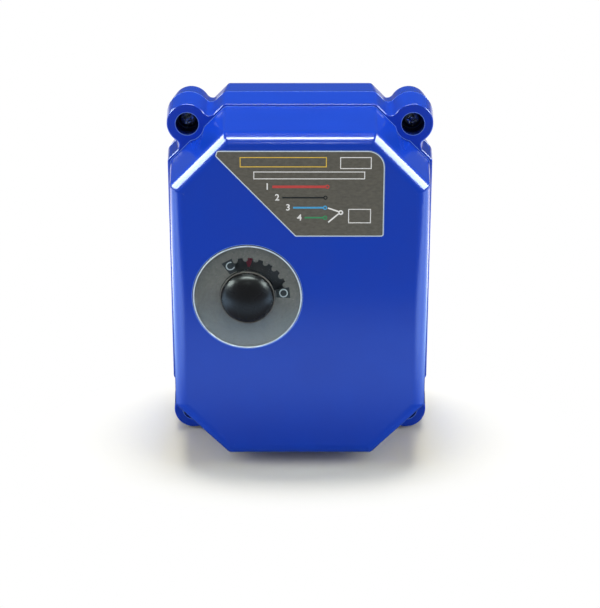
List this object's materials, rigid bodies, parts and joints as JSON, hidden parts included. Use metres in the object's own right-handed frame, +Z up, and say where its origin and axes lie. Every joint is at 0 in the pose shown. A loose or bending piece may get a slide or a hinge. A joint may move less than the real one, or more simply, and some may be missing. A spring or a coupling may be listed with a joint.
{
  "type": "motorized valve actuator",
  "caption": "Quarter-turn electric valve actuator with an octagonal blue housing, dial window, domed override plug, nameplate, geared motor, cam switches and a square drive socket.",
  "frame": {"origin": "where the output axis meets the face of the mounting flange, at the back", "axes": "+Y along the output axis, out of the flange towards the valve; -Y to the dial at the front; +Z up along the housing's length"},
  "size_m": [0.08, 0.0754, 0.1054],
  "materials": {
    "blue_plastic": "satin moulded",
    "steel": "turned and ground",
    "brass": "turned",
    "bronze": "sintered, oiled",
    "galvanised": "zinc plated",
    "grey_aluminium": "brushed, dark grey anodised",
    "silver_print": "silver-grey print",
    "clear_plastic": "clear, moulded",
    "black_rubber": "smooth",
    "black_plastic": "moulded",
    "red_plastic": "moulded",
    "yellow_plastic": "moulded",
    "white_plastic": "turned",
    "board_green": "solder mask",
    "terminal_green": "moulded",
    "relay_blue": "moulded",
    "can_aluminium": "drawn"
  },
  "bodies": {
    "housing": {"base_housing": "blue_plastic", "cover": "blue_plastic", "cover_gasket": "black_rubber", "cover_screws": "steel", "cover_inserts": "brass", "flange_inserts": "brass", "nameplate": "grey_aluminium", "lens_seal": "black_rubber", "dial_plate": "silver_print", "dial_lens": "clear_plastic", "rear_bush": "bronze", "front_bush": "bronze", "shaft_seal": "black_rubber", "gear_pins": "steel", "gearbox_plate": "galvanised", "plate_posts": "steel", "plate_screws": "steel", "motor_can": "galvanised", "motor_cap": "black_plastic", "motor_terminals": "brass", "motor_screws": "steel", "closed_switch": "black_plastic", "open_switch": "black_plastic", "switch_terminals": "brass", "switch_screws": "steel", "lever_pins": "steel", "circuit_board": "board_green", "board_screws": "steel", "relays": "relay_blue", "terminal_block": "terminal_green", "terminal_screws": "steel", "capacitor": "can_aluminium", "film_capacitor": "yellow_plastic", "gland_washer": "black_rubber", "gland_body": "black_plastic", "gland_locknut": "black_plastic", "gland_insert": "black_rubber", "gland_nut": "black_plastic"},
    "output": {"output_shaft": "steel", "gear_key": "steel", "output_gear": "steel", "shaft_sleeve": "steel", "circlip": "steel", "closed_cam": "yellow_plastic", "open_cam": "red_plastic", "cam_screws": "steel", "pointer_disc": "black_plastic", "pointer": "red_plastic"},
    "gear_3": {"gear_3": "steel"},
    "gear_2": {"gear_2": "steel"},
    "gear_1": {"gear_1": "brass"},
    "motor_rotor": {"motor_shaft": "steel", "motor_pinion": "brass"},
    "plug": {"override_plug": "black_rubber"},
    "closed_lever": {"closed_lever": "steel", "closed_roller": "white_plastic"},
    "open_lever": {"open_lever": "steel", "open_roller": "white_plastic"}
  },
  "joints": [
    {"name": "output_turn", "type": "hinge", "parent": "housing", "child": "output", "pos_m": [0, 0, 0], "axis": [0, 1, 0], "range_deg": [-20, 70]},
    {"name": "gear_3_turn", "type": "hinge", "parent": "housing", "child": "gear_3", "pos_m": [0.0227, 0, -0.004], "axis": [0, 1, 0], "range_deg": [-252.5, 72.5]},
    {"name": "gear_2_turn", "type": "hinge", "parent": "housing", "child": "gear_2", "pos_m": [0.03481, 0, 0.01043], "axis": [0, 1, 0], "range_deg": [-236.81, 825.9]},
    {"name": "gear_1_turn", "type": "hinge", "parent": "housing", "child": "gear_1", "pos_m": [0.02921, 0, 0.02502], "axis": [0, 1, 0], "range_deg": [-2753.02, 789.38]},
    {"name": "motor_turn", "type": "hinge", "parent": "housing", "child": "motor_rotor", "pos_m": [0.0165, 0, 0.02965], "axis": [0, 1, 0], "range_deg": [-3473.28, 12113.28]},
    {"name": "plug_pull", "type": "slide", "parent": "housing", "child": "plug", "axis": [0, -1, 0], "range_m": [0, 0.015]},
    {"name": "closed_lever_press", "type": "hinge", "parent": "housing", "child": "closed_lever", "pos_m": [0.0135, 0, -0.015], "axis": [0, -1, 0], "range_deg": [0, 7], "stiffness_Nm_per_rad": 0.002, "springref_deg": -11.46},
    {"name": "open_lever_press", "type": "hinge", "parent": "housing", "child": "open_lever", "pos_m": [0.0135, 0, -0.015], "axis": [0, -1, 0], "range_deg": [0, 7], "stiffness_Nm_per_rad": 0.002, "springref_deg": -11.46}
  ],
  "couplings": [
    {"joint": "gear_3_turn", "follows": "output_turn", "ratio": -3.6},
    {"joint": "gear_2_turn", "follows": "output_turn", "ratio": 11.782},
    {"joint": "gear_1_turn", "follows": "output_turn", "ratio": -39.273},
    {"joint": "motor_turn", "follows": "output_turn", "ratio": 172.8}
  ]
}
